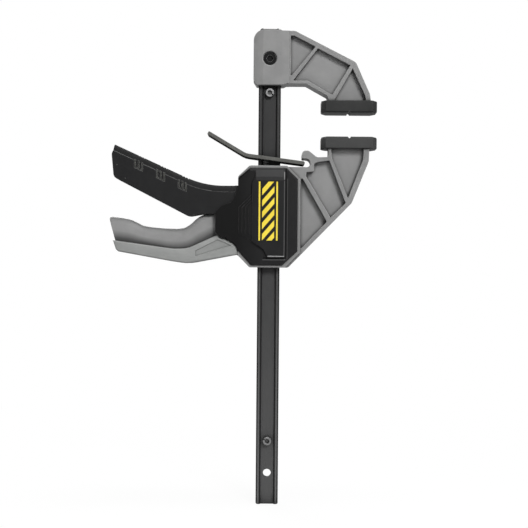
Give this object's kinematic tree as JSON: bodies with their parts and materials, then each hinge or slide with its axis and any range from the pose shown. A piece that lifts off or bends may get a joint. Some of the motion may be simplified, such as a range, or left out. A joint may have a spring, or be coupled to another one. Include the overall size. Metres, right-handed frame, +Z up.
{
  "type": "quick release bar clamp",
  "caption": "One-handed bar clamp: fixed jaw on a steel I-bar, sliding jaw with pistol handle, squeeze trigger and tilting brake lever.",
  "frame": {"origin": "centre of the bar's foot face", "axes": "+Z up along the bar to the fixed jaw, +X from the bar toward the pads, -Y the front"},
  "size_m": [0.2195, 0.036, 0.3926],
  "materials": {
    "bar_steel": "black satin",
    "plain_steel": "plain",
    "black_steel": "black oxide",
    "lever_steel": "dark satin",
    "grey_nylon": "fine matte",
    "handle_nylon": "fine matte",
    "black_nylon": "satin",
    "soft_grip": "soft matte",
    "pad_rubber": "soft matte"
  },
  "bodies": {
    "frame": {"bar": "bar_steel", "end_stop_pin": "plain_steel", "head_stop_pin": "plain_steel", "fixed_jaw": "grey_nylon", "fixed_jaw_pad": "pad_rubber", "jaw_screw": "black_steel", "jaw_nut": "plain_steel"},
    "carriage": {"jaw_body": "grey_nylon", "handle": "handle_nylon", "moving_jaw_pad": "pad_rubber", "front_cover": "black_nylon", "rear_cover": "black_nylon", "cover_screws": "black_steel", "trigger_pin": "plain_steel", "drive_spring": "plain_steel", "brake_spring_front": "black_steel", "brake_spring_rear": "black_steel"},
    "trigger": {"trigger": "black_nylon", "trigger_grip": "soft_grip"},
    "drive_plates": {"drive_plate_upper": "plain_steel", "drive_plate_lower": "plain_steel"},
    "brake_lever": {"brake_lever": "lever_steel"}
  },
  "joints": [
    {"name": "jaw_slide", "type": "slide", "parent": "frame", "child": "carriage", "axis": [0, 0, 1], "range_m": [-0.139, 0.0192]},
    {"name": "trigger", "type": "hinge", "parent": "carriage", "child": "trigger", "pos_m": [0.0165, 0, 0.2383], "axis": [0, -1, 0], "range_deg": [0, 14], "stiffness_Nm_per_rad": 1.5, "springref_deg": -17.19},
    {"name": "drive", "type": "slide", "parent": "carriage", "child": "drive_plates", "axis": [0, 0, -1], "range_m": [0, 0.00446], "deforming": ["drive_spring"]},
    {"name": "brake_lever", "type": "hinge", "parent": "carriage", "child": "brake_lever", "pos_m": [0.02772, 0, 0.28129], "axis": [0, -1, 0], "range_deg": [0, 6.5], "stiffness_Nm_per_rad": 0.4, "springref_deg": -17.19, "deforming": ["brake_spring_front", "brake_spring_rear"]}
  ],
  "couplings": [
    {"joint": "drive", "follows": "trigger", "m_per_rad": 0.0182}
  ]
}
